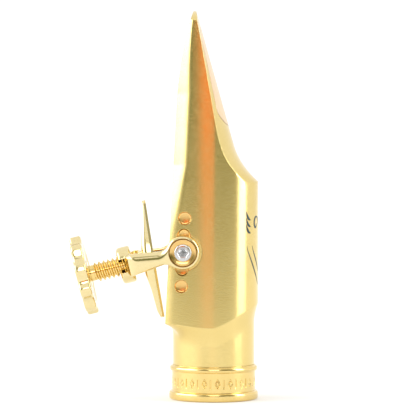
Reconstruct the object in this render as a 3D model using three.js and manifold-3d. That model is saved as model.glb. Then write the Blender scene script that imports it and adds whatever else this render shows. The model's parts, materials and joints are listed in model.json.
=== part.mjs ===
// Metal alto saxophone mouthpiece with its pivoting pressure-plate ligature.
// Millimetres. +Z runs up the shank axis from the base to the tip, -X is the reed side,
// +X is the beak's back, and the ligature pivots about an axis along Y.
import * as THREE from "three";
import { mergeVertices } from "three/addons/utils/BufferGeometryUtils.js";
import Module from "manifold-3d";

const wasm = await Module();
wasm.setup();

// ---------------------------------------------------------------- driving dimensions
const GAP = 0.3; // clearance kept between pieces that touch
const TIP_Z = 89.6; // height of the tip
const AROUND = 40; // facets round the shank and the bore
const SMALL = 24; // facets round a small turned piece

const shank = { bore: 7.95, boreTop: 29, base: 10.3, bead: 10.15, band: 9.65, plain: 9.42 };
const sleeve = { inner: 8.75, top: 8.0, baseHeight: 1.9, beadZ: 7.2, beadHalf: 0.65 };
const chamber = { radius: 7.6, top: 46, throat: 5.4, throatTop: 51 };

const table = { footZ: 18.8, footX: -11.05, slope: 0.0529 };
const facing = { length: 22, opening: 2.7 };
const barrel = { back: 10.3, width: 9.9, widthAtTip: 8.1, sidePull: 0.14, top: 50.3, crownFrom: 7.0 };
// The shoulder above the shank: how high it starts at the sides, behind and before, how tall it
// is, and how hollow its curve is.
const foot = { from: 12.5, side: 16.75, behind: 5.45, before: 1.8 };
const footRise = { behind: 1.3, before: 2.5, height: 4.2, extra: 0.8, curve: 1.5, hollow: 1.8 };
const beak = { tipX: -4.0, slope: 0.282, flareTop: 59, flareRise: 3.2, flareCurve: 2.2 };
const crown = { most: 3.2, atTip: 0.2, spread: 0.104 };
const corner = { slope: 0.5, lowSlope: 0.2, chamfer: 1.65, from: 39, full: 54, blend: 1.9 };
const cornerShare = { chamfer: 0.22, blend: 0.25 }; // at most, of the wall's depth
const tipArc = { radius: 14, rail: 1.2 };
const windowCut = { footZ: 48.4, halfFoot: 5.2, halfTop: 6.5 };
const bite = { foot: 63, top: 86.4, inset: 1.6, depth: 0.6, proud: 0.1, footCurve: 0.55, topCurve: 3.2 };
const CLEAR = 16; // how far a cutter reaches past the body

const pivot = { x: -7.0, z: 34.2, seatY: 8.35, seatRadius: 4.4, hole: 1.5 };
const pocket = { radius: 1.5, pitch: 3.88, floorY: 7.4, perSide: 2 };

const rest = { screwDrop: 13.8, plateLean: 4.4 }; // degrees
const arm = { inner: 9.5, outer: 12.0, end: 10.75, eye: 3.85, bush: 1.9, sinkRadius: 3.3, sinkY: 10.35 };
const cross = { inner: 11.95, outer: 13.4, half: 1.9, corner: 3.0, inside: 1.5 };
const boss = { radius: 4.25, to: 15.25, hole: 2.6, slotHalf: 1.55 };
const screw = { end: 5.6, shoulder: 1.6, thread: 1.2, head: 2.0, headFrom: 11.35, headTo: 12.35 };
const socket = { hex: 1.15, depth: 0.7, edge: 0.25 };
const wheel = { radius: 9.2, valley: 8.3, lobes: 10, lobeHalf: 4.5, turn: 13, from: 22.3, to: 25.0, edge: 0.4 };
const spindle = { major: 2.3, minor: 1.85, neck: 0.95, threadTo: 21.2, pitch: 1.06 };
const swivel = { at: 9.1, halfWidth: 3.1, halfHeight: 2.4, from: 8.65, to: 10.2, cavity: 2.0, depth: 0.85 };
const plate = { face: 2.3, half: 13.75, halfWidth: 4.8, tipHalf: 0.9, leaf: 1.3, pad: 0.5, ear: 1.15 };
const plateRoof = { rim: 0.3, least: 0.35, shares: [0.75, 0.35] };
const pin = { radius: 0.5, hole: 0.8, ear: 1.1 };

const FINISH = {
  satinGold: { color: 0xd9b45e, roughness: 0.42, metalness: 1 },
  brightGold: { color: 0xe8c468, roughness: 0.14, metalness: 1 },
  peachGold: { color: 0xe6b27c, roughness: 0.3, metalness: 1 },
  steel: { color: 0xb9bcc0, roughness: 0.2, metalness: 1 },
};

// ---------------------------------------------------------------- solids and booleans
// A closed geometry as a manifold solid, with only its shared positions kept.
function solid(geometry) {
  const bare = geometry.clone();
  bare.deleteAttribute("normal");
  bare.deleteAttribute("uv");
  const merged = mergeVertices(bare, 1e-4);
  return new wasm.Manifold(
    new wasm.Mesh({
      numProp: 3,
      vertProperties: merged.getAttribute("position").array,
      triVerts: new Uint32Array(merged.index.array),
    }),
  );
}

// A manifold solid back as a three.js geometry.
function geometryOf(made) {
  const mesh = made.getMesh();
  const geometry = new THREE.BufferGeometry();
  geometry.setAttribute("position", new THREE.BufferAttribute(mesh.vertProperties, mesh.numProp));
  geometry.setIndex(new THREE.BufferAttribute(mesh.triVerts, 1));
  return geometry;
}

// The first geometry joined with some and then cut by others.
function combine(base, { add = [], cut = [], within = [] }) {
  let made = solid(base);
  for (const other of add) made = made.add(solid(other));
  for (const other of within) made = made.intersect(solid(other));
  for (const other of cut) made = made.subtract(solid(other));
  return geometryOf(made);
}

// Rings of equal point count, each running anticlockwise seen from the last ring's side.
function loft(rings) {
  const count = rings[0].length;
  const centres = [rings[0], rings.at(-1)].map((ring) =>
    ring.reduce((sum, p) => sum.add(p), new THREE.Vector3()).divideScalar(count),
  );
  const points = [...rings.flat(), ...centres];
  const [footCentre, headCentre] = [points.length - 2, points.length - 1];
  const headStart = (rings.length - 1) * count;
  const faces = [];
  for (let i = 0; i < count; i++) {
    const next = (i + 1) % count;
    for (let r = 0; r < rings.length - 1; r++) {
      const [low, high] = [r * count, (r + 1) * count];
      faces.push(low + i, low + next, high + next, low + i, high + next, high + i);
    }
    faces.push(footCentre, next, i, headCentre, headStart + i, headStart + next);
  }
  const geometry = new THREE.BufferGeometry().setFromPoints(points);
  geometry.setIndex(faces);
  return geometry;
}

// A closed [radius, height] profile turned about Z.
function turned(profile, facets = AROUND) {
  const outline = [...profile, profile[0]].map(([r, z]) => new THREE.Vector2(r, z));
  return new THREE.LatheGeometry(outline, facets).rotateX(Math.PI / 2);
}

// A plain rod about Z between two heights.
const rod = (radius, from, to, facets = SMALL) =>
  new THREE.CylinderGeometry(radius, radius, to - from, facets)
    .rotateX(Math.PI / 2)
    .translate(0, 0, (from + to) / 2);

const ring = (outer, inner, from, to) =>
  turned([[inner, from], [outer, from], [outer, to], [inner, to]], SMALL);

// Geometry made about Z turned so that its height runs out along -X or along Y.
const alongScrew = (geometry) => geometry.rotateY(-Math.PI / 2);
const alongY = (geometry, side) => geometry.rotateX((-side * Math.PI) / 2);

// An outline of [x, z] points, spread along Y between two values.
function slabY(points, from, to) {
  const outline = new THREE.Shape(points.map(([x, z]) => new THREE.Vector2(x, z)));
  return new THREE.ExtrudeGeometry(outline, { depth: to - from, bevelEnabled: false })
    .rotateX(Math.PI / 2)
    .translate(0, to, 0);
}

// An outline in Y and Z, spread along X between two values.
function slabX(outline, from, to, curveSegments = 12) {
  return new THREE.ExtrudeGeometry(outline, { depth: to - from, bevelEnabled: false, curveSegments })
    .applyMatrix4(new THREE.Matrix4().makeBasis(...AXES_YZX))
    .translate(from, 0, 0);
}
const AXES_YZX = [new THREE.Vector3(0, 1, 0), new THREE.Vector3(0, 0, 1), new THREE.Vector3(1, 0, 0)];

const span = (from, to, steps) =>
  Array.from({ length: steps + 1 }, (_, i) => from + ((to - from) * i) / steps);
const degrees = (angle) => (angle * Math.PI) / 180;

// ---------------------------------------------------------------- mouthpiece surfaces
const widthAt = (z) =>
  barrel.width -
  ((barrel.width - barrel.widthAtTip) * (z - table.footZ)) / (TIP_Z - table.footZ);

// Half-width of the uncut barrel at a given x: round behind the axis, nearly straight before it.
function sideAt(x, z) {
  const round = Math.sqrt(Math.max(0, 1 - (x / barrel.back) ** 2));
  const straight = 1 - barrel.sidePull * (x / 10) ** 2;
  return widthAt(z) * (x > 0 ? round : straight);
}

// The flat table, then the facing curve that opens towards the tip.
function tableAt(z) {
  const along = Math.max(0, z - (TIP_Z - facing.length)) / facing.length;
  return table.footX + (z - table.footZ) * table.slope + facing.opening * along ** 2;
}

// The crown line of the barrel's back and of the beak, with its flare at the foot.
function crownAt(z) {
  if (z <= barrel.top) return barrel.back;
  const line = beak.tipX + (TIP_Z - z) * beak.slope;
  const flare = Math.max(0, beak.flareTop - z) / (beak.flareTop - barrel.top);
  return line + beak.flareRise * flare ** beak.flareCurve;
}

// How far the beak's two edges lie below its crown line.
function crownRise(z) {
  if (z <= barrel.top) return barrel.back - barrel.crownFrom;
  return Math.min(crown.most, crown.atTip + (TIP_Z - z) * crown.spread);
}

const edgeAt = (z) => crownAt(z) - crownRise(z);

// The corner between the side wall and the table or rail: a chamfer, then a soft blend.
function cornerAt(z) {
  const depth = edgeAt(z) - tableAt(z);
  const grown = Math.min(1, Math.max(0, (z - corner.from) / (corner.full - corner.from)));
  return {
    slope: corner.lowSlope + (corner.slope - corner.lowSlope) * grown,
    chamfer: Math.min(cornerShare.chamfer * depth, corner.chamfer * grown),
    blend: Math.min(cornerShare.blend * depth, corner.blend),
  };
}

// How far the corner draws the side wall in, at a distance behind the table.
function cornerDrop(behind, { slope, chamfer, blend }) {
  if (behind < chamfer) return slope * (chamfer + blend / 2 - behind);
  return (slope * Math.max(0, chamfer + blend - behind) ** 2) / (2 * blend);
}

// The beak or barrel back over a half-width, from its edge to its crown.
function backAt(y, z) {
  if (z <= barrel.top) return barrel.back * Math.sqrt(1 - (y / widthAt(z)) ** 2);
  return crownAt(z) - crownRise(z) * (y / sideAt(edgeAt(z), z)) ** 2;
}

// One level section of the body, anticlockwise seen from above, as [x, y] pairs.
function sectionAt(z) {
  const turning = cornerAt(z);
  const [start, edge] = [tableAt(z), edgeAt(z)];
  const wall = (x) => [x, sideAt(x, z) - cornerDrop(x - start, turning)];
  const { chamfer, blend } = turning;
  const corners = [0, chamfer + 0.02, chamfer + blend / 2, chamfer + blend].map((d) => wall(start + d));
  const flat = span(0, corners[0][1], 3).slice(0, -1).map((y) => [start, y]);
  const side = span(start + chamfer + blend, edge, 5).slice(1).map(wall);
  const back = span(sideAt(edge, z), 0, 5).slice(1).map((y) => [backAt(y, z), y]);
  const half = [...flat, ...corners, ...side, ...back];
  const mirrored = half.slice(1, -1).reverse().map(([x, y]) => [x, -y]);
  return [...half, ...mirrored].reverse();
}

// Below the table's foot the body blends into the round shank: highest at the back, lowest at
// the sides, and steepest under the table.
function footSection(z) {
  return sectionAt(Math.max(z, table.footZ)).map(([x, y]) => {
    const radius = Math.hypot(x, y);
    const [behind, before] = [Math.max(0, x / radius), Math.max(0, -x / radius)];
    const top =
      foot.side + foot.behind * behind ** footRise.behind + foot.before * before ** footRise.before;
    const height = footRise.height + footRise.extra * before ** 2;
    const blend = Math.min(1, Math.max(0, (z - top + height) / height));
    const curved = blend ** (footRise.curve + footRise.hollow * before ** 2);
    const wanted = shank.plain + (radius - shank.plain) * curved;
    return [(x * wanted) / radius, (y * wanted) / radius];
  });
}

function bodyBlank() {
  const footTop = foot.side + foot.behind;
  const feet = [foot.from, 14.2, 15.6, 16.6, 17.4, 18.5, 19.6, 20.8, footTop];
  const heads = [36, corner.from, ...span(barrel.top, beak.flareTop, 4), ...span(62, TIP_Z, 9)];
  const rings = [...feet.map(footSection), ...heads.map(sectionAt)];
  const levels = [...feet, ...heads];
  return loft(rings.map((outline, n) => outline.map(([x, y]) => new THREE.Vector3(x, y, levels[n]))));
}

// ---------------------------------------------------------------- mouthpiece pieces
// Everything outside the rounded tip outline, spread through the body.
function tipCutter() {
  const centre = TIP_Z - tipArc.radius;
  const outline = new THREE.Shape();
  outline.moveTo(CLEAR, centre);
  outline.lineTo(CLEAR, TIP_Z + CLEAR);
  outline.lineTo(-CLEAR, TIP_Z + CLEAR);
  outline.lineTo(-CLEAR, centre);
  outline.lineTo(-tipArc.radius, centre);
  outline.absarc(0, centre, tipArc.radius, Math.PI, 0, true);
  return slabX(outline, -CLEAR, CLEAR, 24);
}

// The chamber's roof seen from the side, as [x, z]: upright over the throat, then a long slope
// that follows the beak to the tip.
const CHAMBER_ROOF = [
  [-CLEAR, chamber.top - 6],
  [6.2, chamber.top - 6],
  [6.2, chamber.top + 1],
  [2.0, 57],
  [-5.2, TIP_Z - 1.1],
  [-CLEAR, TIP_Z],
];

// The window under the reed, up to the chamber's roof.
function windowCutter() {
  const centre = TIP_Z - tipArc.radius;
  const top = tipArc.radius - tipArc.rail;
  const reach = Math.asin(windowCut.halfTop / top);
  const footCentre = windowCut.footZ + windowCut.halfFoot;
  const outline = new THREE.Shape();
  outline.absarc(0, footCentre, windowCut.halfFoot, Math.PI, 2 * Math.PI, false);
  outline.absarc(0, centre, top, Math.PI / 2 - reach, Math.PI / 2 + reach, false);
  return combine(slabX(outline, -CLEAR, CLEAR), { within: [slabY(CHAMBER_ROOF, -CLEAR, CLEAR)] });
}

function boreCutter() {
  return turned([
    [0, -CLEAR],
    [shank.bore, -CLEAR],
    [shank.bore, shank.boreTop],
    [chamber.radius, shank.boreTop + 0.4],
    [chamber.radius, chamber.top],
    [chamber.throat, chamber.throatTop],
    [0, chamber.throatTop],
  ]);
}

// The bite pad's outline on the beak, grown by a margin: round at both ends.
function biteOutline(margin) {
  const halfAt = (z) => sideAt(edgeAt(z), z) - bite.inset + margin;
  const [round, shoulder] = [halfAt(bite.foot), bite.top - bite.topCurve];
  const low = span(180, 360, 8).map((a) => [
    round * Math.cos(degrees(a)),
    bite.foot - margin + round * bite.footCurve * (1 + Math.sin(degrees(a))),
  ]);
  const high = span(0, 180, 8).map((a) => [
    halfAt(shoulder) * Math.cos(degrees(a)),
    shoulder + (bite.topCurve + margin) * Math.sin(degrees(a)),
  ]);
  return new THREE.Shape([...low, ...high].map(([y, z]) => new THREE.Vector2(y, z)));
}

// A skin that follows the beak's surface between two depths measured along X.
function beakSkin(outer, inner) {
  const rings = span(bite.foot - 2, TIP_Z - 1.4, 8).map((z) => {
    const half = sideAt(edgeAt(z), z);
    const across = span(-half, half, 8);
    const front = across.map((y) => new THREE.Vector3(backAt(y, z) + outer, y, z));
    const behind = across.map((y) => new THREE.Vector3(backAt(y, z) - inner, y, z)).reverse();
    return [...front, ...behind];
  });
  return loft(rings);
}

function bitePad() {
  const skin = beakSkin(bite.proud, bite.depth - GAP);
  return combine(skin, { within: [slabX(biteOutline(0), -CLEAR, CLEAR)] });
}

function bitePocket() {
  const skin = beakSkin(2, bite.depth);
  return combine(skin, { within: [slabX(biteOutline(GAP), -CLEAR, CLEAR)] });
}

// The pivot seat, its screw hole and the row of shallow round pockets on one side.
function sideCuts(side) {
  const place = (geometry, x, z) => alongY(geometry, side).translate(x, 0, z);
  const cuts = [
    place(rod(pivot.seatRadius, pivot.seatY, CLEAR), pivot.x, pivot.z),
    place(rod(pivot.hole, screw.end - GAP, CLEAR), pivot.x, pivot.z),
  ];
  for (let n = -pocket.perSide; n <= pocket.perSide; n++) {
    const rise = n * pocket.pitch;
    const cutter = rod(pocket.radius, pocket.floorY, CLEAR);
    if (n !== 0) cuts.push(place(cutter, pivot.x + rise * table.slope, pivot.z + rise));
  }
  return cuts;
}

function mouthpieceBody() {
  const spigot = turned([
    [0, GAP],
    [sleeve.inner - GAP, GAP],
    [sleeve.inner - GAP, sleeve.top + GAP],
    [shank.plain, sleeve.top + GAP],
    [shank.plain, foot.from + GAP],
    [0, foot.from + GAP],
  ]);
  return combine(bodyBlank(), {
    add: [spigot],
    cut: [boreCutter(), windowCutter(), tipCutter(), bitePocket(), ...sideCuts(1), ...sideCuts(-1)],
  });
}

// The turned sleeve with the base ring, the plain band and the upper bead.
function shankSleeve() {
  const bead = span(-90, 90, 4).map((a) => [
    shank.band + (shank.bead - shank.band) * Math.cos(degrees(a)),
    sleeve.beadZ + sleeve.beadHalf * Math.sin(degrees(a)),
  ]);
  return turned([
    [sleeve.inner, 0],
    [shank.base - 0.4, 0],
    [shank.base, 0.4],
    [shank.base, sleeve.baseHeight - 0.5],
    [shank.base - 0.5, sleeve.baseHeight],
    [shank.band, sleeve.baseHeight + 0.15],
    ...bead,
    [shank.band, sleeve.top],
    [sleeve.inner, sleeve.top],
  ]);
}

// ---------------------------------------------------------------- pivot hardware
const atPivot = (geometry, side) => alongY(geometry, side).translate(pivot.x, 0, pivot.z);

function pivotScrew() {
  const blank = turned([
    [0, screw.end],
    [screw.thread, screw.end],
    [screw.thread, pivot.seatY + GAP],
    [screw.shoulder, pivot.seatY + GAP],
    [screw.shoulder, screw.headFrom],
    [screw.head, screw.headFrom],
    [screw.head, screw.headTo - socket.edge],
    [screw.head - socket.edge, screw.headTo],
    [0, screw.headTo],
  ], SMALL);
  return combine(blank, { cut: [rod(socket.hex, screw.headTo - socket.depth, CLEAR, 6)] });
}

const seatSpacer = () => ring(arm.eye - 0.15, arm.bush, pivot.seatY + GAP, arm.inner - GAP);
const headWasher = () => ring(arm.sinkRadius - GAP, arm.bush, arm.sinkY + GAP, screw.headFrom - GAP);

// ---------------------------------------------------------------- yoke, in the screw's own frame
// The U of two arms and a crossbar seen from above, open towards the mouthpiece. The arms draw
// in slightly from the eyes to the crossbar.
function yokePlan() {
  const plan = new THREE.Shape();
  const [outer, inner] = [cross.corner, cross.inside];
  plan.moveTo(arm.eye + 1, arm.inner);
  plan.lineTo(arm.eye + 1, arm.outer);
  plan.lineTo(-arm.eye, arm.outer);
  plan.lineTo(outer - cross.outer, arm.end);
  plan.absarc(outer - cross.outer, arm.end - outer, outer, Math.PI / 2, Math.PI, false);
  plan.absarc(outer - cross.outer, outer - arm.end, outer, Math.PI, 1.5 * Math.PI, false);
  plan.lineTo(-arm.eye, -arm.outer);
  plan.lineTo(arm.eye + 1, -arm.outer);
  plan.lineTo(arm.eye + 1, -arm.inner);
  plan.absarc(inner - cross.inner, inner - arm.inner, inner, 1.5 * Math.PI, Math.PI, true);
  plan.absarc(inner - cross.inner, arm.inner - inner, inner, Math.PI, Math.PI / 2, true);
  return new THREE.ExtrudeGeometry(plan, { depth: 12, bevelEnabled: false, curveSegments: 6 })
    .translate(0, 0, -6);
}

// An arm seen from the side, as [x, z]: it flares from the eye to its outer end, then steps to
// the crossbar.
const ARM_SIDE = [
  [0, 3.0],
  [-4.7, 1.35],
  [-11.3, 2.5],
  [-12.4, 2.5],
  [-13.2, cross.half],
  [-CLEAR, cross.half],
  [-CLEAR, -cross.half],
  [-13.3, -cross.half],
  [-12.8, -2.4],
  [-4.7, -1.5],
  [0, -1.6],
];

// The round boss that carries the thread stands out of the crossbar and is slotted across.
function yoke() {
  const eye = alongY(rod(arm.eye, -CLEAR, CLEAR), 1);
  const side = combine(slabY(ARM_SIDE, -CLEAR, CLEAR), { add: [eye] });
  const barrelBoss = alongScrew(rod(boss.radius, cross.inner, boss.to));
  const slot = new THREE.BoxGeometry(boss.to - cross.outer + 1, 2 * CLEAR, 2 * boss.slotHalf)
    .translate(-(boss.to + cross.outer + 1) / 2, 0, 0);
  const holes = [alongScrew(rod(boss.hole, arm.inner, CLEAR + 1)), slot];
  for (const end of [1, -1]) {
    holes.push(alongY(rod(arm.bush, arm.inner - 1, CLEAR), end));
    holes.push(alongY(rod(arm.sinkRadius, arm.sinkY, CLEAR), end));
  }
  const bent = combine(yokePlan(), { within: [side] });
  return combine(bent, { add: [barrelBoss], cut: holes });
}

// ---------------------------------------------------------------- thumbscrew, in the same frame
// The lobed grip: narrow round lobes with a shallow scallop between each pair.
function thumbWheel() {
  const pitch = 360 / wheel.lobes;
  const outline = new THREE.Shape();
  for (let n = 0; n < wheel.lobes; n++) {
    const middle = pitch * (n + 0.5) + wheel.turn;
    const [from, to] = [degrees(middle - wheel.lobeHalf), degrees(middle + wheel.lobeHalf)];
    outline.absarc(0, 0, wheel.radius, from, to, false);
    const valley = degrees(middle + pitch / 2);
    const pull = 2 * wheel.valley - wheel.radius * Math.cos(degrees(pitch / 2 - wheel.lobeHalf));
    const next = degrees(middle + pitch - wheel.lobeHalf);
    outline.quadraticCurveTo(
      pull * Math.cos(valley),
      pull * Math.sin(valley),
      wheel.radius * Math.cos(next),
      wheel.radius * Math.sin(next),
    );
  }
  const disc = new THREE.ExtrudeGeometry(outline, {
    depth: wheel.to - wheel.from - 2 * wheel.edge,
    bevelThickness: wheel.edge,
    bevelSize: wheel.edge,
    bevelOffset: -wheel.edge,
    bevelSegments: 1,
    curveSegments: 4,
  }).translate(0, 0, wheel.from + wheel.edge);
  return alongScrew(combine(disc, { cut: [rod(spindle.minor, wheel.from - 1, wheel.to + 1)] }));
}

// The threaded rod, with the smooth neck that carries the swivel's retaining ring.
function threadedSpindle() {
  const grooves = Math.floor((spindle.threadTo - swivel.to - GAP) / spindle.pitch);
  const thread = span(0, grooves, 2 * grooves).map((turn) => [
    turn % 1 ? spindle.major : spindle.minor + 0.1,
    swivel.to + GAP + turn * spindle.pitch,
  ]);
  return alongScrew(turned([
    [0, swivel.from + 0.1],
    [spindle.neck, swivel.from + 0.1],
    [spindle.neck, swivel.to + GAP],
    ...thread,
    [spindle.minor, wheel.from - GAP],
    [spindle.minor - GAP, wheel.from - GAP],
    [spindle.minor - GAP, wheel.to - 0.3],
    [0, wheel.to - 0.3],
  ], SMALL));
}

// The non-turning block that the spindle pushes, hinged in the pressure plate.
function swivelBlock() {
  const block = new THREE.BoxGeometry(
    swivel.to - swivel.from,
    2 * swivel.halfWidth,
    2 * swivel.halfHeight,
  ).translate(-(swivel.from + swivel.to) / 2, 0, 0);
  const cuts = [
    alongScrew(rod(spindle.neck + GAP, 8, 11)),
    alongScrew(rod(swivel.cavity, 8, swivel.from + swivel.depth)),
  ];
  for (const side of [1, -1]) {
    cuts.push(alongY(rod(pin.hole, swivel.halfWidth - 0.6, 5), side).translate(-swivel.at, 0, 0));
  }
  return combine(block, { cut: cuts });
}

const retainingRing = () =>
  alongScrew(ring(swivel.cavity - GAP, spindle.neck + GAP, swivel.from + 0.15, swivel.from + 0.55));

// ---------------------------------------------------------------- pressure plate, about its hinge
// The plate's thickness along its length, as [distance up from the hinge, thickness].
const PLATE_SPINE = [
  [-plate.half, 0.7],
  [-12.5, 1.4],
  [-6.7, 2.0],
  [-3.2, 2.75],
  [3.0, 2.75],
  [plate.half, 0.5],
];

function plateThicknessAt(v) {
  const next = Math.max(1, PLATE_SPINE.findIndex(([at]) => at >= v));
  const [[low, from], [high, to]] = [PLATE_SPINE[next - 1], PLATE_SPINE[next]];
  return from + ((to - from) * (v - low)) / (high - low);
}

const plateHalfAt = (v) =>
  plate.halfWidth - (plate.halfWidth - plate.tipHalf) * (Math.abs(v) / plate.half) ** plate.leaf;

// A long leaf whose section is a low roof over the reed pad.
function plateLeaf() {
  const inner = plate.face - plate.pad - GAP;
  const stations = [...PLATE_SPINE.map(([v]) => v), -10, -8.4, 0, 5.5, 8.4, 11].sort((a, b) => a - b);
  const rings = stations.map((v) => {
    const half = plateHalfAt(v);
    const back = Math.min(plate.face - plateThicknessAt(v), inner - plateRoof.least);
    const rim = inner - plateRoof.rim * (inner - back);
    const roof = plateRoof.shares.map((share) => [inner - (inner - back) * (1 - share ** 2), half * share]);
    const section = [
      [inner, -half],
      [inner, half],
      [rim, half],
      ...roof,
      ...roof.toReversed().map(([x, y]) => [x, -y]),
      [rim, -half],
    ];
    return section.map(([x, y]) => new THREE.Vector3(x, y, v));
  });
  return loft(rings);
}

// The slot for the swivel block and the two ears that hold its pins.
function pressurePlate() {
  const ears = [];
  const cuts = [];
  const floor = swivel.at - swivel.from + 1.5 * GAP;
  const slot = { y: swivel.halfWidth + GAP, z: swivel.halfHeight + 0.5 };
  cuts.push(new THREE.BoxGeometry(6, 2 * slot.y, 2 * slot.z).translate(floor - 3, 0, 0));
  for (const side of [1, -1]) {
    const ear = alongY(rod(plate.ear, slot.y, slot.y + pin.ear), side);
    const foot = new THREE.BoxGeometry(1.2, pin.ear, 2 * plate.ear)
      .translate(0.6, side * (slot.y + pin.ear / 2), 0);
    ears.push(combine(ear, { add: [foot] }));
    cuts.push(alongY(rod(pin.hole, slot.y - 0.2, slot.y + pin.ear + 0.2), side));
  }
  return combine(plateLeaf(), { add: ears, cut: cuts });
}

// The thin leaf that bears on the reed, fixed under the plate.
function reedPad() {
  const outline = span(-plate.half, plate.half, 12).map((v) => [plateHalfAt(v), v]);
  const mirrored = outline.map(([y, v]) => [-y, v]).reverse();
  const leaf = new THREE.Shape([...outline, ...mirrored].map(([y, z]) => new THREE.Vector2(y, z)));
  return slabX(leaf, plate.face - plate.pad, plate.face);
}

const hingePin = (side) =>
  alongY(rod(pin.radius, swivel.halfWidth - GAP, swivel.halfWidth + GAP + pin.ear, 16), side);

// ---------------------------------------------------------------- assembly
function place(name, geometry, finish, parent) {
  const mesh = new THREE.Mesh(geometry, new THREE.MeshStandardMaterial(FINISH[finish]));
  mesh.name = name;
  parent.add(mesh);
}

const part = new THREE.Group();
place("mouthpiece_body", mouthpieceBody(), "satinGold", part);
place("shank_sleeve", shankSleeve(), "brightGold", part);
place("bite_pad", bitePad(), "peachGold", part);
for (const [side, end] of [[-1, "left"], [1, "right"]]) {
  place(`pivot_screw_${end}`, atPivot(pivotScrew(), side), "steel", part);
  place(`head_washer_${end}`, atPivot(headWasher(), side), "brightGold", part);
  place(`seat_spacer_${end}`, atPivot(seatSpacer(), side), "brightGold", part);
}

const ligature = new THREE.Group();
ligature.position.set(pivot.x, 0, pivot.z);
ligature.rotation.y = -degrees(rest.screwDrop);
part.add(ligature);
place("ligature_yoke", yoke(), "brightGold", ligature);
place("thumb_wheel", thumbWheel(), "brightGold", ligature);
place("thumbscrew_spindle", threadedSpindle(), "brightGold", ligature);
place("swivel_block", swivelBlock(), "brightGold", ligature);
place("retaining_ring", retainingRing(), "steel", ligature);

const leaf = new THREE.Group();
leaf.position.set(-swivel.at, 0, 0);
leaf.rotation.y = degrees(rest.plateLean);
ligature.add(leaf);
place("pressure_plate", pressurePlate(), "brightGold", leaf);
place("reed_pad", reedPad(), "brightGold", leaf);
place("plate_pin_left", hingePin(-1), "steel", leaf);
place("plate_pin_right", hingePin(1), "steel", leaf);

export default part;
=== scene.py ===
import json
import math

import bpy
import numpy as np
from mathutils import Matrix, Vector


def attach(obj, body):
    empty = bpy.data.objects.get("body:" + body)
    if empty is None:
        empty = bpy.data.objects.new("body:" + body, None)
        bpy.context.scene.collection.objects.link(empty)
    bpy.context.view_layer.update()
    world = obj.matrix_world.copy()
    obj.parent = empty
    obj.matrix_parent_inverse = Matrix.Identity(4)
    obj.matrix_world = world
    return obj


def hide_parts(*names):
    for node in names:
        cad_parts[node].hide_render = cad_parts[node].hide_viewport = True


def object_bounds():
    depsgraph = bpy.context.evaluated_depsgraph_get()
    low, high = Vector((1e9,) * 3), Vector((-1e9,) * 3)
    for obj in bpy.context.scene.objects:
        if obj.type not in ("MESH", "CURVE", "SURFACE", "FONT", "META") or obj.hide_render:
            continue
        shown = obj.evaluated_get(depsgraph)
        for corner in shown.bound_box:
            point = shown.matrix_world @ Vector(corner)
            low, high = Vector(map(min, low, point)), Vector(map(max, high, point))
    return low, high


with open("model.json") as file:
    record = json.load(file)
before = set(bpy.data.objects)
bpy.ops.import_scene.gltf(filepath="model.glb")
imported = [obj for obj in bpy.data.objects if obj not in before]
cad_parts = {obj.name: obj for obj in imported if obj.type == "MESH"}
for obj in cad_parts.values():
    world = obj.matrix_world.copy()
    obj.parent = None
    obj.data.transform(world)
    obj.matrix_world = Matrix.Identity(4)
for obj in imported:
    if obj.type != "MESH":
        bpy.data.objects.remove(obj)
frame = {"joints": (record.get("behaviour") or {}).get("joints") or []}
CAD_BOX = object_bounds()

# Lengths below are in millimetres, as the model was designed, and turned to metres at the end.
MM = 0.001
JOINTS = {joint["name"]: joint for joint in frame["joints"]}
PIVOT = Vector(JOINTS["ligature_pivot"]["pos_m"]) / MM
HINGE = Vector(JOINTS["plate_tilt"]["pos_m"]) / MM
SCREW_AXIS = Vector(JOINTS["clamp_travel"]["axis"])
SCREW_DROP = math.atan2(-SCREW_AXIS.z, -SCREW_AXIS.x)
TIP_Z = CAD_BOX[1][2] / MM
BACK_X = CAD_BOX[1][0] / MM


# ---------------------------------------------------------------- mesh helpers
def make(name, verts, faces):
    mesh = bpy.data.meshes.new(name)
    mesh.from_pydata([tuple(v) for v in verts], [], faces)
    mesh.update()
    obj = bpy.data.objects.new(name, mesh)
    bpy.context.scene.collection.objects.link(obj)
    return obj


def loft(name, rings, closed=False):
    """Quads between rings of equal count, capped at both ends or joined end to end."""
    rings = np.asarray(rings, float)
    levels, count = rings.shape[:2]
    faces = []
    for level in range(levels if closed else levels - 1):
        low, high = level * count, ((level + 1) % levels) * count
        for i in range(count):
            j = (i + 1) % count
            faces.append((low + i, low + j, high + j, high + i))
    if not closed:
        faces.append(tuple(reversed(range(count))))
        faces.append(tuple(range((levels - 1) * count, levels * count)))
    return make(name, rings.reshape(-1, 3), faces)


def fillet(points, steps=5, closed=False):
    """Points are (x, y) or (x, y, radius): a corner with a radius becomes an arc."""
    out = []
    count = len(points)
    for i, point in enumerate(points):
        radius = point[2] if len(point) > 2 else 0
        here = Vector(point[:2])
        if radius == 0 or (not closed and i in (0, count - 1)):
            out.append(tuple(here))
            continue
        before = (Vector(points[i - 1][:2]) - here).normalized()
        after = (Vector(points[(i + 1) % count][:2]) - here).normalized()
        half = before.angle(after) / 2
        reach = radius / math.tan(half)
        centre = here + (before + after).normalized() * radius / math.sin(half)
        start = here + before * reach - centre
        turn = before.angle(after) - math.pi
        sign = 1 if before.cross(after) > 0 else -1
        for k in range(steps + 1):
            angle = sign * turn * k / steps
            cos, sin = math.cos(angle), math.sin(angle)
            spoke = Vector((start.x * cos - start.y * sin, start.x * sin + start.y * cos))
            out.append(tuple(centre + spoke))
    return out


def round_angles(count):
    """Angles spaced evenly round a full turn."""
    return np.linspace(0, 2 * math.pi, count, endpoint=False)


def circles(profile, angles):
    """A ring of points about Z for each (radius, height)."""
    return [[(r * math.cos(a), r * math.sin(a), h) for a in angles] for r, h in profile]


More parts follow.
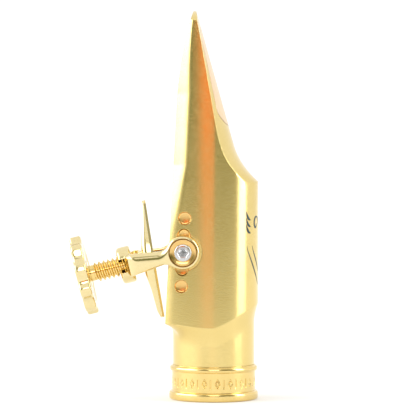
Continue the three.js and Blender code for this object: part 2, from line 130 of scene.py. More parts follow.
def level_ring(radii, angles, height):
    """One ring whose radius changes as it goes round."""
    return [(r * math.cos(a), r * math.sin(a), height) for r, a in zip(radii, angles, strict=True)]


def turned(name, profile, count=96, closed=False):
    """A (radius, height) profile turned about Z. An open profile is capped at its ends."""
    on_axis = 1e-3
    profile = [(max(r, on_axis), h) for r, h in profile]
    return loft(name, circles(profile, round_angles(count)), closed)


def ring(name, outer, inner, low, high, edge=0.08):
    corners = [(inner, low, edge), (outer, low, edge), (outer, high, edge), (inner, high, edge)]
    return turned(name, fillet(corners, closed=True), closed=True)


def prism(name, outline, low, high):
    """An outline in X and Y, spread along Z."""
    return loft(name, [[(x, y, z) for x, y in outline] for z in (low, high)])


def moved(obj, *matrices):
    for matrix in matrices:
        obj.data.transform(matrix)
    return obj


def turn(axis, angle):
    return Matrix.Rotation(math.radians(angle), 4, axis)


def carve(obj, cutters=(), joins=(), within=()):
    """Joins, keeps the common part, then cuts, all in one evaluation. The helpers are removed."""
    steps = [("UNION", o) for o in joins] + [("INTERSECT", o) for o in within]
    steps += [("DIFFERENCE", o) for o in cutters]
    for operation, other in steps:
        modifier = obj.modifiers.new(operation, "BOOLEAN")
        modifier.operation = operation
        modifier.solver = "EXACT"
        modifier.object = other
    settle(obj)
    for _, other in steps:
        bpy.data.objects.remove(other)
    return obj


def settle(obj):
    """Replaces an object's mesh by the result of its modifiers."""
    bpy.context.view_layer.update()
    evaluated = obj.evaluated_get(bpy.context.evaluated_depsgraph_get())
    mesh = bpy.data.meshes.new_from_object(evaluated)
    obj.modifiers.clear()
    obj.data = mesh


def soften(obj, voxel, passes):
    """Rounds every edge evenly, as polishing does to a casting."""
    remesh = obj.modifiers.new("remesh", "REMESH")
    remesh.mode = "VOXEL"
    remesh.voxel_size = voxel
    smooth = obj.modifiers.new("smooth", "SMOOTH")
    smooth.factor = 0.5
    smooth.iterations = passes
    settle(obj)
    return obj


def finished(obj, body, material, slot, *nodes, crease=32):
    """In metres, shaded smooth but for its creases, with its finish, body and CAD nodes."""
    obj.data.transform(Matrix.Scale(MM, 4))
    obj.data.shade_smooth()
    obj.data.set_sharp_from_angle(angle=math.radians(crease))
    if not obj.data.materials:
        obj.data.materials.append(material)
    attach(obj, body)
    if nodes:
        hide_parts(*nodes)
    return obj


# ---------------------------------------------------------------- materials
def shader(name, colour, roughness, metallic=1.0):
    material = bpy.data.materials.new(name)
    material.use_nodes = True
    tree = material.node_tree
    principled = tree.nodes["Principled BSDF"]
    principled.inputs["Base Color"].default_value = (*colour, 1)
    principled.inputs["Roughness"].default_value = roughness
    principled.inputs["Metallic"].default_value = metallic
    return material, tree, principled


def noise(tree, scale, stretch=(1, 1, 1), detail=3.0):
    """Noise in the object's own space. Scale is in waves per metre."""
    place = tree.nodes.new("ShaderNodeTexCoord")
    mapping = tree.nodes.new("ShaderNodeMapping")
    mapping.inputs["Scale"].default_value = stretch
    texture = tree.nodes.new("ShaderNodeTexNoise")
    texture.inputs["Scale"].default_value = scale
    texture.inputs["Detail"].default_value = detail
    tree.links.new(place.outputs["Object"], mapping.inputs["Vector"])
    tree.links.new(mapping.outputs["Vector"], texture.inputs["Vector"])
    return texture.outputs["Fac"]


def spread(tree, source, low, high):
    """A 0 to 1 value spread between two numbers."""
    remap = tree.nodes.new("ShaderNodeMapRange")
    remap.inputs["From Min"].default_value = 0.3
    remap.inputs["From Max"].default_value = 0.7
    remap.inputs["To Min"].default_value = low
    remap.inputs["To Max"].default_value = high
    tree.links.new(source, remap.inputs["Value"])
    return remap.outputs["Result"]


def average(tree, first, second):
    """The mean of two 0 to 1 values."""
    mix = tree.nodes.new("ShaderNodeMix")
    mix.inputs["Factor"].default_value = 0.5
    tree.links.new(first, mix.inputs["A"])
    tree.links.new(second, mix.inputs["B"])
    return mix.outputs["Result"]


def tinted(tree, source, low, high, target):
    mix = tree.nodes.new("ShaderNodeMix")
    mix.data_type = "RGBA"
    mix.inputs["A"].default_value = (*low, 1)
    mix.inputs["B"].default_value = (*high, 1)
    tree.links.new(source, mix.inputs["Factor"])
    tree.links.new(mix.outputs["Result"], target)


def bumped(tree, source, distance, strength, principled, edge=None):
    bump = tree.nodes.new("ShaderNodeBump")
    bump.inputs["Distance"].default_value = distance
    bump.inputs["Strength"].default_value = strength
    tree.links.new(source, bump.inputs["Height"])
    if edge:
        bevel = tree.nodes.new("ShaderNodeBevel")
        bevel.samples = 4
        bevel.inputs["Radius"].default_value = edge
        tree.links.new(bevel.outputs["Normal"], bump.inputs["Normal"])
    tree.links.new(bump.outputs["Normal"], principled.inputs["Normal"])


def gold(name, light, deep, roughness, grain, depth, strength, stretch=(1, 1, 1), edge=None):
    """Gold plating whose tint wanders slightly and whose surface carries a fine grain."""
    drift, tint_share, rough_share = 160, 0.9, 0.35
    material, tree, principled = shader(name, light, sum(roughness) / 2)
    fine = spread(tree, noise(tree, grain * tint_share, stretch), 0.0, 1.0)
    tint = average(tree, noise(tree, drift), fine)
    tinted(tree, tint, deep, light, principled.inputs["Base Color"])
    rough = spread(tree, noise(tree, grain * rough_share, stretch), *roughness)
    tree.links.new(rough, principled.inputs["Roughness"])
    bumped(tree, noise(tree, grain, stretch), depth, strength, principled, edge)
    return material


SATIN = gold("satin_gold", (0.82, 0.65, 0.28), (0.72, 0.54, 0.19), roughness=(0.13, 0.19), grain=4500,
             depth=1e-5, strength=0.9, stretch=(0.7, 0.7, 1.3), edge=1.5e-4)
BRIGHT = gold("bright_gold", (0.82, 0.70, 0.39), (0.77, 0.63, 0.32), roughness=(0.05, 0.10), grain=2500,
              depth=4e-6, strength=0.2)
# A darker copy of the bright gold for the sleeve and the spindle: painted shade near the floor and between
# the parts.
SHADED_GOLD = gold("shaded_gold", (0.84, 0.64, 0.27), (0.79, 0.58, 0.21), roughness=(0.08, 0.14), grain=2500,
            depth=4e-6, strength=0.2)
# A darker, more orange copy of the gold: painted shade and reflection for the pockets and for the washers
# in the sinks.
RECESS_SHADE_GOLD = gold("recess_shade_gold", (0.80, 0.55, 0.22), (0.74, 0.46, 0.15), roughness=(0.12, 0.20), grain=4000,
            depth=6e-6, strength=0.4)
PEACH = gold("peach_gold", (0.90, 0.70, 0.46), (0.86, 0.63, 0.38), roughness=(0.25, 0.35), grain=6000,
             depth=1e-5, strength=0.3, stretch=(1, 1, 0.15))
STEEL = gold("steel", (0.62, 0.62, 0.62), (0.55, 0.55, 0.55), roughness=(0.12, 0.22), grain=5000,
             depth=4e-6, strength=0.3)


def enamel():
    material, tree, principled = shader("dark_enamel", (0.015, 0.035, 0.035), 0.35, 0.0)
    tinted(tree, noise(tree, 900), (0.008, 0.020, 0.022), (0.02, 0.05, 0.048),
           principled.inputs["Base Color"])
    bumped(tree, noise(tree, 5000), 1e-5, 0.3, principled)
    return material


# ---------------------------------------------------------------- mouthpiece surfaces
# The table leans by its slope and curves away over the facing. The walls narrow towards the tip.
TABLE_FOOT, TABLE_X, TABLE_SLOPE = 18.8, -11.05, 0.0529
FACING_LENGTH, FACING_OPENING = 22.0, 2.7
WIDTH, WIDTH_TIP, SIDE_PULL, SIDE_REACH = 9.9, 8.1, 0.14, 10.0
BARREL_TOP, CROWN_FROM = 50.3, 7.0
BEAK_TIP_X, BEAK_SLOPE, FLARE_TOP, FLARE_RISE, FLARE_CURVE = -4.0, 0.282, 59.0, 3.2, 2.2
CROWN_LEAST, CROWN_MOST, CROWN_GROWTH = 0.2, 3.2, 0.104
CORNER_SLOPE, CORNER_LOW = 0.5, 0.2
CHAMFER, CHAMFER_SHARE, CHAMFER_FROM, CHAMFER_FULL = 1.65, 0.22, 39.0, 54.0
BLEND, BLEND_SHARE = 1.9, 0.25
SHANK_R, SLEEVE_TOP, SPIGOT_R = 9.42, 8.0, 8.75
# The foot blends the body into the shank: highest behind, and a little higher in front than aside.
FOOT_FROM, FOOT_SIDE, FOOT_BEHIND, FOOT_BEFORE = 12.5, 16.75, 5.45, 1.8
FOOT_BEHIND_CURVE, FOOT_BEFORE_CURVE = 1.3, 2.5
FOOT_HEIGHT, FOOT_EXTRA, FOOT_CURVE, FOOT_HOLLOW = 4.2, 0.8, 1.5, 1.8
BARREL_FROM, FLARE_END = 23.0, 60.0
TIP_R, TIP_RAIL = 14.0, 1.2
BORE_R, BORE_DEPTH, THROAT_R, THROAT_TOP, BORE_TOP = 7.95, 29.0, 7.6, 46.0, 51.0
WINDOW_FOOT, WINDOW_HALF, WINDOW_HALF_TOP = 48.4, 5.2, 6.5
BITE_FOOT, BITE_TOP, BITE_INSET, BITE_END, BITE_CURVE, BITE_DEPTH = 63.0, 86.4, 1.6, 3.2, 0.55, 0.6
SEAT_R, SEAT_FLOOR, HOLE_R, HOLE_FLOOR = 4.4, 8.35, 1.4, 5.3
POCKET_R, POCKET_FLOOR, POCKET_EDGE, POCKET_PITCH = 1.5, 7.4, 0.35, 3.88
POCKET_STEPS = (-2, -1, 1, 2)
# Cutters that come from the side start out here.
OUTSIDE = 14.0


def width_at(z):
    return WIDTH - (WIDTH - WIDTH_TIP) * (z - TABLE_FOOT) / (TIP_Z - TABLE_FOOT)


def side_at(x, z):
    if x > 0:
        return width_at(z) * math.sqrt(max(0, 1 - (x / BACK_X) ** 2))
    return width_at(z) * (1 - SIDE_PULL * (x / SIDE_REACH) ** 2)


def table_at(z):
    along = max(0, z - (TIP_Z - FACING_LENGTH)) / FACING_LENGTH
    return TABLE_X + (z - TABLE_FOOT) * TABLE_SLOPE + FACING_OPENING * along**2


def crown_at(z):
    if z <= BARREL_TOP:
        return BACK_X
    flare = max(0, FLARE_TOP - z) / (FLARE_TOP - BARREL_TOP)
    return BEAK_TIP_X + (TIP_Z - z) * BEAK_SLOPE + FLARE_RISE * flare**FLARE_CURVE


def crown_rise(z):
    if z <= BARREL_TOP:
        return BACK_X - CROWN_FROM
    return min(CROWN_MOST, CROWN_LEAST + (TIP_Z - z) * CROWN_GROWTH)


def edge_at(z):
    return crown_at(z) - crown_rise(z)


def beak_half(z):
    """Half the beak's width where its crown begins."""
    return side_at(edge_at(z), z)


def corner_at(z):
    """The slope of the corner at the table, the reach of its chamfer and of its soft blend."""
    depth = edge_at(z) - table_at(z)
    grown = min(1, max(0, (z - CHAMFER_FROM) / (CHAMFER_FULL - CHAMFER_FROM)))
    slope = CORNER_LOW + (CORNER_SLOPE - CORNER_LOW) * grown
    return slope, min(CHAMFER_SHARE * depth, CHAMFER * grown), min(BLEND_SHARE * depth, BLEND)


def corner_drop(behind, slope, chamfer, blend):
    """How far the side wall is drawn in at a distance behind the table."""
    if behind < chamfer:
        return slope * (chamfer + blend / 2 - behind)
    return slope * max(0, chamfer + blend - behind) ** 2 / (2 * blend)


def back_at(y, z):
    if z <= BARREL_TOP:
        return BACK_X * math.sqrt(max(0, 1 - (y / width_at(z)) ** 2))
    return crown_at(z) - crown_rise(z) * (y / beak_half(z)) ** 2


def section(z, flat_steps=12, corner_steps=8, side_steps=30, back_steps=20):
    """One level section of the body, anticlockwise seen from above, as (x, y) pairs."""
    slope, chamfer, blend = corner_at(z)
    start, edge = table_at(z), edge_at(z)
    apart = 0.01
    offsets = [*(chamfer * np.linspace(0, 1, 4) + apart * np.arange(4))]
    offsets += [*(chamfer + 3 * apart + (blend - 3 * apart) * np.linspace(0, 1, corner_steps + 1)[1:])]
    offsets += [*np.linspace(chamfer + blend, edge - start, side_steps + 1)[1:]]
    side = [(start + d, side_at(start + d, z) - corner_drop(d, slope, chamfer, blend))
            for d in offsets]
    half = [(start, y) for y in np.linspace(0, side[0][1], flat_steps + 1)[:-1]] + side
    half += [(back_at(y, z), y) for y in np.linspace(beak_half(z), 0, back_steps + 1)[1:]]
    return (half + [(x, -y) for x, y in half[-2:0:-1]])[::-1]


def foot_section(z):
    """Where the body blends into the shank, highest at the back and lowest at the sides."""
    points = []
    for x, y in section(z):
        radius = math.hypot(x, y)
        behind, before = max(0, x / radius), max(0, -x / radius)
        top = FOOT_SIDE + FOOT_BEHIND * behind**FOOT_BEHIND_CURVE
        top += FOOT_BEFORE * before**FOOT_BEFORE_CURVE
        height = FOOT_HEIGHT + FOOT_EXTRA * before**2
        share = min(1, max(0, (z - top + height) / height))
        wanted = SHANK_R + (radius - SHANK_R) * share ** (FOOT_CURVE + FOOT_HOLLOW * before**2)
        points.append((x * wanted / radius, y * wanted / radius, z))
    return points


def shank_section(z, radius):
    """A round section with as many points as the body's own sections."""
    points = section(TABLE_FOOT)
    return [(radius * x / math.hypot(x, y), radius * y / math.hypot(x, y), z) for x, y in points]


def mouthpiece_body():
    spigot_foot, step = 0.15, 0.02
    rings = [shank_section(spigot_foot, SPIGOT_R), shank_section(SLEEVE_TOP, SPIGOT_R),
             shank_section(SLEEVE_TOP + step, SHANK_R)]
    rings += [foot_section(z) for z in np.linspace(FOOT_FROM, FOOT_SIDE + FOOT_BEHIND, 64)]
    levels = [*np.linspace(BARREL_FROM, BARREL_TOP, 16), *np.linspace(BARREL_TOP + 0.05, FLARE_END, 40)]
    levels += [*np.linspace(FLARE_END + 0.5, TIP_Z, 60)]
    rings += [[(x, y, z) for x, y in section(z)] for z in levels]
    body = loft("mouthpiece_visual", rings)
    cutters = [bore_cutter(), window_cutter(), tip_cutter(), bite_skin(0.0, 2.0)]
    cutters += side_cutters(1) + side_cutters(-1)
    return carve(body, cutters)


def shade_pockets(body):
    """The shallow pockets get a darker, more orange gold: painted shade and reflection in the hollows."""
    body.data.materials.append(RECESS_SHADE_GOLD)
    for face in body.data.polygons:
        x, y, z = face.center / MM
        rise = z - PIVOT.z
        step = min(POCKET_STEPS, key=lambda n: abs(rise - POCKET_PITCH * n))
        across = x - PIVOT.x - POCKET_PITCH * step * TABLE_SLOPE
        inside = math.hypot(across, rise - POCKET_PITCH * step) < POCKET_R + 0.02
        if inside and POCKET_FLOOR - 0.1 < abs(y) < side_at(x, z) - 0.15:
            face.material_index = 1
    return body


def bore_cutter():
    """The neck's bore and the chamber above it."""
    profile = [(0, -2), (BORE_R, -2), (BORE_R, 0.4), (BORE_R, BORE_DEPTH, 0.5),
               (THROAT_R, BORE_DEPTH + 0.4, 0.5), (THROAT_R, THROAT_TOP, 2.0), (5.4, BORE_TOP, 0.3),
               (0, BORE_TOP)]
    return turned("bore_cutter", fillet(profile), 160)


def arc(centre, radius, low, high, steps=24):
    return [(centre[0] + radius * math.cos(math.radians(a)),
             centre[1] + radius * math.sin(math.radians(a))) for a in np.linspace(low, high, steps + 1)]


# An outline drawn in Y and Z is made in X and Y, then stood up to be spread along X.
STAND_UP = Matrix(((0, 0, 1, 0), (1, 0, 0, 0), (0, 1, 0, 0), (0, 0, 0, 1)))
# An outline drawn in X and Z, to be spread along Y.
STAND_ACROSS = Matrix(((1, 0, 0, 0), (0, 0, -1, 0), (0, 1, 0, 0), (0, 0, 0, 1)))


def tip_cutter():
    """What lies beyond the round arc of the tip."""
    centre = TIP_Z - TIP_R
    aside, above = 12, TIP_Z + 4
    outline = [(aside, centre), (aside, above), (-aside, above), (-aside, centre), (-TIP_R, centre)]
    outline += arc((0, centre), TIP_R, 180, 0, 64)
    return moved(prism("tip_cutter", outline[:-1] + [(TIP_R, centre)], -20, 20), STAND_UP)


def window_cutter():
    """The window, round at its foot and arched along the tip, with a roof that falls to the tip."""
    centre, top = TIP_Z - TIP_R, TIP_R - TIP_RAIL
    reach = math.degrees(math.asin(WINDOW_HALF_TOP / top))
    outline = arc((0, WINDOW_FOOT + WINDOW_HALF), WINDOW_HALF, 180, 360, 40)
    outline += arc((0, centre), top, 90 - reach, 90 + reach, 40)
    roof = fillet([(-16, 40), (6.2, 40), (6.2, 47, 3), (2.0, 57, 12), (-5.2, 88.5), (-16, TIP_Z)], 12)
    slot = moved(prism("window_cutter", outline, -16, 10), STAND_UP)
    slope = moved(prism("window_roof", roof, -9, 9), STAND_ACROSS)
    return carve(slot, within=[slope])


def bite_outline(margin):
    """The pad seen from behind: rounded at its foot, parallel to the beak, rounded at its top."""
    foot, top, inset = BITE_FOOT - margin, BITE_TOP + margin, BITE_INSET - margin
    foot_half, top_half = beak_half(BITE_FOOT) - inset, beak_half(top - BITE_END) - inset
    foot_rise = foot_half * BITE_CURVE
    low = [(foot_half * math.cos(a), foot + foot_rise * (1 + math.sin(a)))
           for a in np.linspace(math.pi, 2 * math.pi, 33)]
    sides = [(beak_half(z) - inset, z) for z in np.linspace(foot + foot_rise, top - BITE_END, 12)]
    high = [(top_half * math.cos(a), top - BITE_END + BITE_END * math.sin(a))
            for a in np.linspace(0, math.pi, 33)]
    return low + sides[1:-1] + high + [(-y, z) for y, z in sides[-2:0:-1]]


def bite_skin(margin, proud):
    """The bite pad's shape: a skin that follows the beak, standing proud of it."""
    rings = []
    for z in np.linspace(61, TIP_Z - 1.4, 50):
        half = beak_half(z)
        across = np.linspace(-half, half, 41)
        front = [(back_at(y, z) + proud, y, z) for y in across]
        behind = [(back_at(y, z) - BITE_DEPTH, y, z) for y in across[::-1]]
        rings.append(front + behind)
    outline = moved(prism("bite_outline", bite_outline(margin), -8, 12), STAND_UP)
    return carve(loft("bite_pad_visual", rings), within=[outline])


def side_cutters(side):
    """The pivot's seat and screw hole, and the row of shallow round pockets."""
    def place(obj, rise):
        spot = Matrix.Translation((PIVOT.x + rise * TABLE_SLOPE, 0, PIVOT.z + rise))
        return moved(obj, turn("X", -90 * side), spot)

    def plug(name, radius, floor, edge=0, count=96):
        profile = fillet([(0, floor), (radius, floor, edge), (radius, OUTSIDE), (0, OUTSIDE)])
        return turned(name, profile, count)

    seat, hole = plug("seat", SEAT_R, SEAT_FLOOR), plug("hole", HOLE_R, HOLE_FLOOR, count=48)
    cutters = [place(seat, 0), place(hole, 0)]
    for step in POCKET_STEPS:
        pocket = plug("pocket", POCKET_R, POCKET_FLOOR, POCKET_EDGE, 64)
        cutters.append(place(pocket, POCKET_PITCH * step))
    return cutters


# ---------------------------------------------------------------- shank sleeve
SLEEVE_R, BAND_R, BAND_FROM, BAND_TO, BEAD_MIDDLE = 10.3, 9.65, 2.3, 6.35, 7.2
MARK_COUNT, MARK_MIDDLE, MARK_DEPTH, MARK_EDGE = 20, 4.15, 0.16, 9
# Half sizes of the marks: a share of the cell across, and millimetres upwards.
LOZENGE, LOZENGE_HOLE, TICK = (0.21, 1.25), (0.11, 0.65), (0.045, 1.1)
LOZENGE_AT, TICK_AT, TICK_SHARE = 0.3, 0.76, 0.6


def mark_depth(angle, height):
    """The depth of the engraved row: an outlined lozenge and a short tick in each cell."""
    if not BAND_FROM - 0.1 < height < BAND_TO + 0.05:
        return 0
    cell, off = (angle * MARK_COUNT / (2 * math.pi)) % 1, abs(height - MARK_MIDDLE)
    lozenge = 1 - abs(cell - LOZENGE_AT) / LOZENGE[0] - off / LOZENGE[1]
    inner = 1 - abs(cell - LOZENGE_AT) / LOZENGE_HOLE[0] - off / LOZENGE_HOLE[1]
    tick = 1 - max(abs(cell - TICK_AT) / TICK[0], off / TICK[1])
    mark = max(min(lozenge, -inner), tick * TICK_SHARE)
    return MARK_DEPTH * min(1, max(0, mark * MARK_EDGE))


def shank_sleeve():
    """The turned sleeve: a base ring, an engraved band and an upper bead."""
    profile = fillet([(SPIGOT_R, 0), (SLEEVE_R, 0, 0.55), (SLEEVE_R, 1.9, 0.55), (BAND_R, 2.05, 0.1)])
    profile += [(BAND_R, h) for h in np.linspace(BAND_FROM, BAND_TO, 46)]
    profile += [(BAND_R + 0.5 * math.cos(a), BEAD_MIDDLE + 0.65 * math.sin(a))
                for a in np.linspace(-math.pi / 2, math.pi / 2, 17)]
    profile += fillet([(BAND_R, 7.9), (BAND_R, SLEEVE_TOP, 0.05), (SPIGOT_R, SLEEVE_TOP)])
    angles = round_angles(960)
    rings = [level_ring([radius - mark_depth(a, height) for a in angles], angles, height)
             for radius, height in profile]
    return loft("sleeve_visual", rings, closed=True)


# ---------------------------------------------------------------- pivot hardware
SCREW_R, SHOULDER_R, HEAD_R, HEAD_FROM, HEAD_TO = 1.2, 1.6, 2.0, 11.3, 12.1
SOCKET_R, SOCKET_FLOOR = 1.25, 11.0
WASHER_HOLE, WASHER_R, WASHER_FROM, WASHER_RIM, WASHER_DISH = 1.7, 2.99, 10.42, 11.72, 11.5


def at_pivot(obj, side):
    return moved(obj, turn("X", -90 * side), Matrix.Translation(PIVOT))


def pivot_screw(name):
    """A shouldered screw with a round head, its hexagon socket ending in a drill point."""
    profile = fillet([(0, 5.6), (SCREW_R, 5.6, 0.2), (SCREW_R, 8.65), (SHOULDER_R, 8.65, 0.1),
                      (SHOULDER_R, HEAD_FROM), (HEAD_R, HEAD_FROM, 0.1), (HEAD_R, HEAD_TO, 0.35),
                      (0, HEAD_TO)])
    over = HEAD_TO + 0.15
    hexagon = turned("socket", [(0, SOCKET_FLOOR), (SOCKET_R, SOCKET_FLOOR), (SOCKET_R, 12.0), (1.6, over),
                                (0, over)], 6)
    point = turned("drill_point", [(0, 10.3), (1.05, SOCKET_FLOOR + 0.05), (0, SOCKET_FLOOR + 0.05)], 32)
    return carve(turned(name, profile), [hexagon, point])


def dished_washer(name):
    """A washer that fills the sink and dips towards the screw's shoulder."""
    profile = [(WASHER_HOLE, WASHER_FROM, 0.1), (WASHER_R, WASHER_FROM, 0.1), (WASHER_R, WASHER_RIM),
               (2.5, 11.56, 1.2), (2.08, WASHER_DISH, 0.05), (WASHER_HOLE, WASHER_DISH, 0.05)]
    return turned(name, fillet(profile, closed=True), closed=True)


# ---------------------------------------------------------------- yoke
SCREW_FRAME = Matrix.Translation(PIVOT) @ Matrix.Rotation(-SCREW_DROP, 4, "Y")
OUTWARD = turn("Y", -90)
ARM_INNER, ARM_OUTER, ARM_END, EYE_R = 9.5, 12.0, 10.75, 3.85
CROSS_INNER, CROSS_OUTER, CROSS_CORNER, CROSS_INSIDE = 11.95, 13.4, 3.0, 1.5
BOSS_R, BOSS_TO, BOSS_SLOT, TAPPED_R = 4.3, 15.25, 1.55, 2.31
SINK_R, SINK_FLOOR = 3.03, 10.35
# The arm's upper and lower edges seen from the side, from the eye to beyond the crossbar.
ARM_OVER = [(0.4, 3.8), (-1.5, 3.5, 0.8), (-4.3, 1.45, 2.5), (-11.7, 2.6, 1.2), (-13.2, 2.0, 0.6),
            (-17, 2.0)]
ARM_UNDER = [(0.4, -3.8), (-2.2, -3.1, 0.8), (-4.4, -1.6, 2.0), (-12.6, -2.6, 0.6), (-13.4, -1.9, 0.4),
             (-17, -1.9)]
EDGE_LEAST, EDGE_GROWTH, UNDER_EDGE_SHARE = 0.7, 1.1, 0.6
CAST_VOXEL, POLISH_PASSES = 0.13, 20


def height_on(line, x):
    return float(np.interp(-x, [-px for px, _ in line], [pz for _, pz in line]))


def arm_shape():
    """The arms and crossbar seen from the side, their long outer edges well rounded."""
    over, under = fillet(ARM_OVER, 12), fillet(ARM_UNDER, 12)
    rings = []
    for x in [*np.linspace(-17, -13.5, 3), *np.linspace(-13.4, 0.4, 90)]:
        drawn = max(0, -x - CROSS_CORNER) / (CROSS_OUTER - CROSS_CORNER)
        wide = ARM_OUTER - (ARM_OUTER - ARM_END) * drawn
        top, foot = height_on(over, x), height_on(under, x)
        edge = EDGE_LEAST + EDGE_GROWTH * min(1, max(0, (-x - 2.0) / 3.5))
        under_edge = UNDER_EDGE_SHARE * edge
        corners = [(-wide, foot, under_edge), (wide, foot, under_edge), (wide, top, edge),
                   (-wide, top, edge)]
        rings.append([(x, y, z) for y, z in fillet(corners, 10, closed=True)])
    return loft("arm_shape", rings)


def yoke_plan():
    """The bent bar seen from above."""
    return fillet([(2, -ARM_OUTER), (2, -ARM_INNER), (-CROSS_INNER, -ARM_INNER, CROSS_INSIDE),
                   (-CROSS_INNER, ARM_INNER, CROSS_INSIDE), (2, ARM_INNER), (2, ARM_OUTER),
                   (-CROSS_CORNER, ARM_OUTER, 3), (-CROSS_OUTER, ARM_END, CROSS_CORNER),
                   (-CROSS_OUTER, -ARM_END, CROSS_CORNER), (-CROSS_CORNER, -ARM_OUTER, 3)],
                  12, closed=True)


def yoke():
    """A bent bar with two rounded arms, an eye at each end and a slotted boss for the spindle."""
    bent = carve(prism("yoke_visual", yoke_plan(), -6, 6), within=[arm_shape()])
    boss = fillet([(0, CROSS_INNER), (BOSS_R, CROSS_INNER, 0.5), (BOSS_R, BOSS_TO, 0.8), (0, BOSS_TO)])
    joins = [moved(turned("boss", boss), OUTWARD)]
    slot = [(-CROSS_OUTER, -BOSS_SLOT), (-CROSS_OUTER, BOSS_SLOT), (-17, BOSS_SLOT), (-17, -BOSS_SLOT)]
    slots = [moved(prism("boss_slot", slot, -13, 13), STAND_ACROSS)]
    tapped = fillet([(0, 9), (TAPPED_R, 9), (TAPPED_R, 18), (0, 18)])
    cutters = [moved(turned("tapped", tapped, 64), OUTWARD)]
    for end in (1, -1):
        eye = [(0, ARM_INNER), (EYE_R, ARM_INNER, 0.3), (EYE_R, ARM_OUTER, 0.7), (0, ARM_OUTER)]
        joins.append(moved(turned("eye", fillet(eye)), turn("X", -90 * end)))
        sink = [(0, 8), (1.75, 8), (1.75, SINK_FLOOR), (SINK_R, SINK_FLOOR), (SINK_R, 11.6, 0.4),
                (3.4, 12.1, 0.3), (3.5, OUTSIDE), (0, OUTSIDE)]
        cutters.append(moved(turned("sink", fillet(sink)), turn("X", -90 * end)))
    soft = soften(carve(carve(bent, joins=joins), slots), CAST_VOXEL, POLISH_PASSES)
    return moved(carve(soft, cutters), SCREW_FRAME)


# ---------------------------------------------------------------- thumbscrew
WHEEL_R, WHEEL_VALLEY, LOBES, LOBE_HALF = 9.2, 8.3, 10, 4.5
WHEEL_FROM, WHEEL_TO, WHEEL_PHASE, WHEEL_EDGE, VALLEY_CURVE = 22.3, 25.0, 13.0, 0.55, 1.15
HUB_R, HUB_RISE, DISH_R, DISH_DEPTH = 6.9, 0.25, 6.2, 0.2
THREAD_R, ROOT_R, THREAD_PITCH = 2.3, 1.78, 1.06
THREAD_FROM, THREAD_TO, THREAD_FADE = 10.5, 21.2, 0.6
CREST_SHARE, FLANK_SHARE = 0.16, 0.66
NECK_R, ROD_R = 0.95, 1.85


def wheel_radius(angle):
    """The lobed rim: narrow round lobes with a scallop between each pair."""
    pitch = 360 / LOBES
    off = abs(((math.degrees(angle) - WHEEL_PHASE) % pitch) - pitch / 2)
    valley = min(1, max(0, (off - LOBE_HALF) / (pitch / 2 - LOBE_HALF)))
    return WHEEL_R - (WHEEL_R - WHEEL_VALLEY) * math.sin(valley * math.pi / 2) ** VALLEY_CURVE


def rim_ring(angles, inset, height):
    return level_ring([wheel_radius(a) - inset for a in angles], angles, height)


def thumb_wheel():
    """A lobed wheel with rounded rims, a shallow dish inside and a slightly domed outer face."""
    angles = round_angles(480)
    middle, half = (WHEEL_FROM + WHEEL_TO) / 2, (WHEEL_TO - WHEEL_FROM) / 2
    rounding = [(WHEEL_EDGE * (1 - math.cos(a)), half - WHEEL_EDGE * (1 - math.sin(a)))
                for a in np.linspace(math.pi / 2, 0, 8)]
    dish = WHEEL_FROM + DISH_DEPTH
    inner_face = [(1.8, WHEEL_FROM), (3.0, WHEEL_FROM), (3.3, dish), (DISH_R, dish), (6.6, WHEEL_FROM)]
    outer_face = [(HUB_R * math.cos(a), WHEEL_TO + HUB_RISE * math.sin(a))
                  for a in np.linspace(0, math.pi / 2, 12)]
    outer_face[-1] = (0.05, WHEEL_TO + HUB_RISE)
    rings = circles(inner_face, angles)
    rings += [rim_ring(angles, inset, middle - rise) for inset, rise in rounding]
    rings += [rim_ring(angles, inset, middle + rise) for inset, rise in rounding[::-1]]
    rings += circles(outer_face, angles)
    return moved(loft("wheel_visual", rings), OUTWARD, SCREW_FRAME)


def thread_radius(angle, height):
    """The helix's radius, which fades to the root at both ends."""
    fade = min(1, (height - THREAD_FROM) / THREAD_FADE, (THREAD_TO - height) / THREAD_FADE)
    phase = (height / THREAD_PITCH - angle / (2 * math.pi)) % 1
    off = min(1, max(0, (abs(phase - 0.5) * 2 - CREST_SHARE) / FLANK_SHARE))
    depth = (THREAD_R - ROOT_R) * off * off * (3 - 2 * off)
    return ROOT_R + (THREAD_R - ROOT_R - depth) * fade


def spindle():
    """The threaded rod, its thread a true right-hand helix that fades out at both ends."""
    angles = round_angles(96)
    rings = circles([(0.9, 8.75), (NECK_R, 8.8), (NECK_R, 10.4), (1.5, 10.45)], angles)
    for height in np.arange(THREAD_FROM, THREAD_TO, THREAD_PITCH / 16):
        rings.append(level_ring([thread_radius(a, height) for a in angles], angles, height))
    end = WHEEL_TO - 0.4
    rings += circles([(ROD_R, THREAD_TO), (ROD_R, WHEEL_FROM + 0.1), (1.6, WHEEL_FROM + 0.2), (1.6, end),
                      (0.05, end)], angles)
    return moved(loft("spindle_visual", rings), OUTWARD, SCREW_FRAME)


def swivel_block():
    """A small block with a stepped bore that holds the spindle's neck and its ring."""
    long, wide, near, far = 3.1, 2.4, 8.65, 10.2
    outline = fillet([(-long, -wide, 0.4), (long, -wide, 0.4), (long, wide, 0.4), (-long, wide, 0.4)],
                     closed=True)
    block = moved(prism("block_visual", [(y, x) for x, y in outline], near, far), OUTWARD)
    bore = [(0, 8), (2.0, 8), (2.0, 9.4), (1.15, 9.4), (1.15, 11), (0, 11)]
    return moved(carve(block, [moved(turned("block_bore", bore), OUTWARD)]), SCREW_FRAME)


# ---------------------------------------------------------------- pressure plate
PLATE_LEAN = 4.4
PLATE_FRAME = Matrix.Translation(HINGE) @ Matrix.Rotation(math.radians(PLATE_LEAN) - SCREW_DROP, 4, "Y")
PLATE_FACE, PLATE_HALF, PLATE_WIDTH, PLATE_TIP, PLATE_ROUND = 2.3, 13.75, 4.8, 0.9, 0.9
PAD, PAD_BEVEL = 0.5, 0.2
